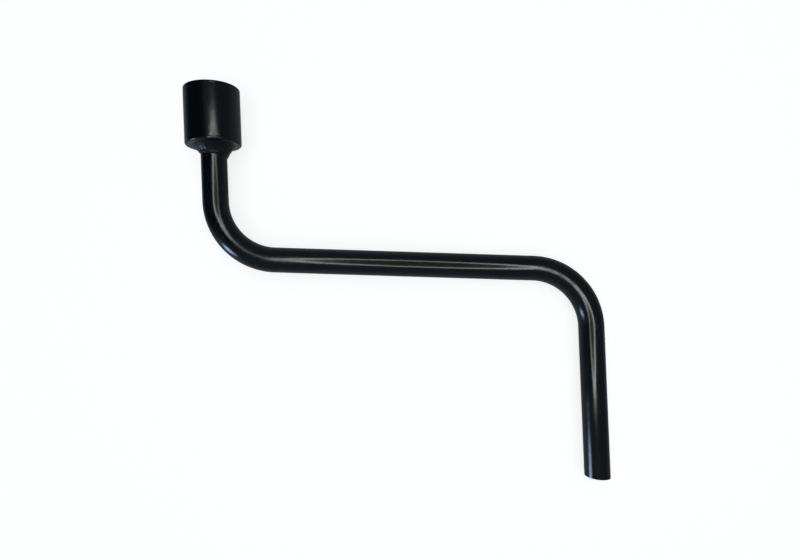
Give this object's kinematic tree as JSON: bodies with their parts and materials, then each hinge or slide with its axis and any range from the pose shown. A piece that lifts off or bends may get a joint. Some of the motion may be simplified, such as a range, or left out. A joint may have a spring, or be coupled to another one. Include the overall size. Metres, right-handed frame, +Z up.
{
  "type": "lug wrench",
  "caption": "Crank-shaped lug wrench: a round steel bar bent into an offset crank, with a hexagon socket welded on one end, painted gloss black.",
  "frame": {"origin": "centre of the socket's mouth, on the drive axis", "axes": "+Y out of the socket's mouth along the drive axis, +X from the drive axis towards the grip, +Z square to the plane of the crank; the wrench lies flat with +Z up"},
  "size_m": [0.2289, 0.2244, 0.03],
  "materials": {
    "bar_paint": "gloss black enamel on a drawn steel bar, with a slight orange peel, small nibs and slightly duller patches",
    "socket_paint": "gloss black enamel on turned steel, worn to bare steel inside the hexagon",
    "weld_paint": "gloss black enamel over the ripples of a fillet weld"
  },
  "bodies": {
    "root": {"handle_rod": "bar_paint", "socket": "socket_paint", "weld_bead": "weld_paint"}
  },
  "joints": []
}
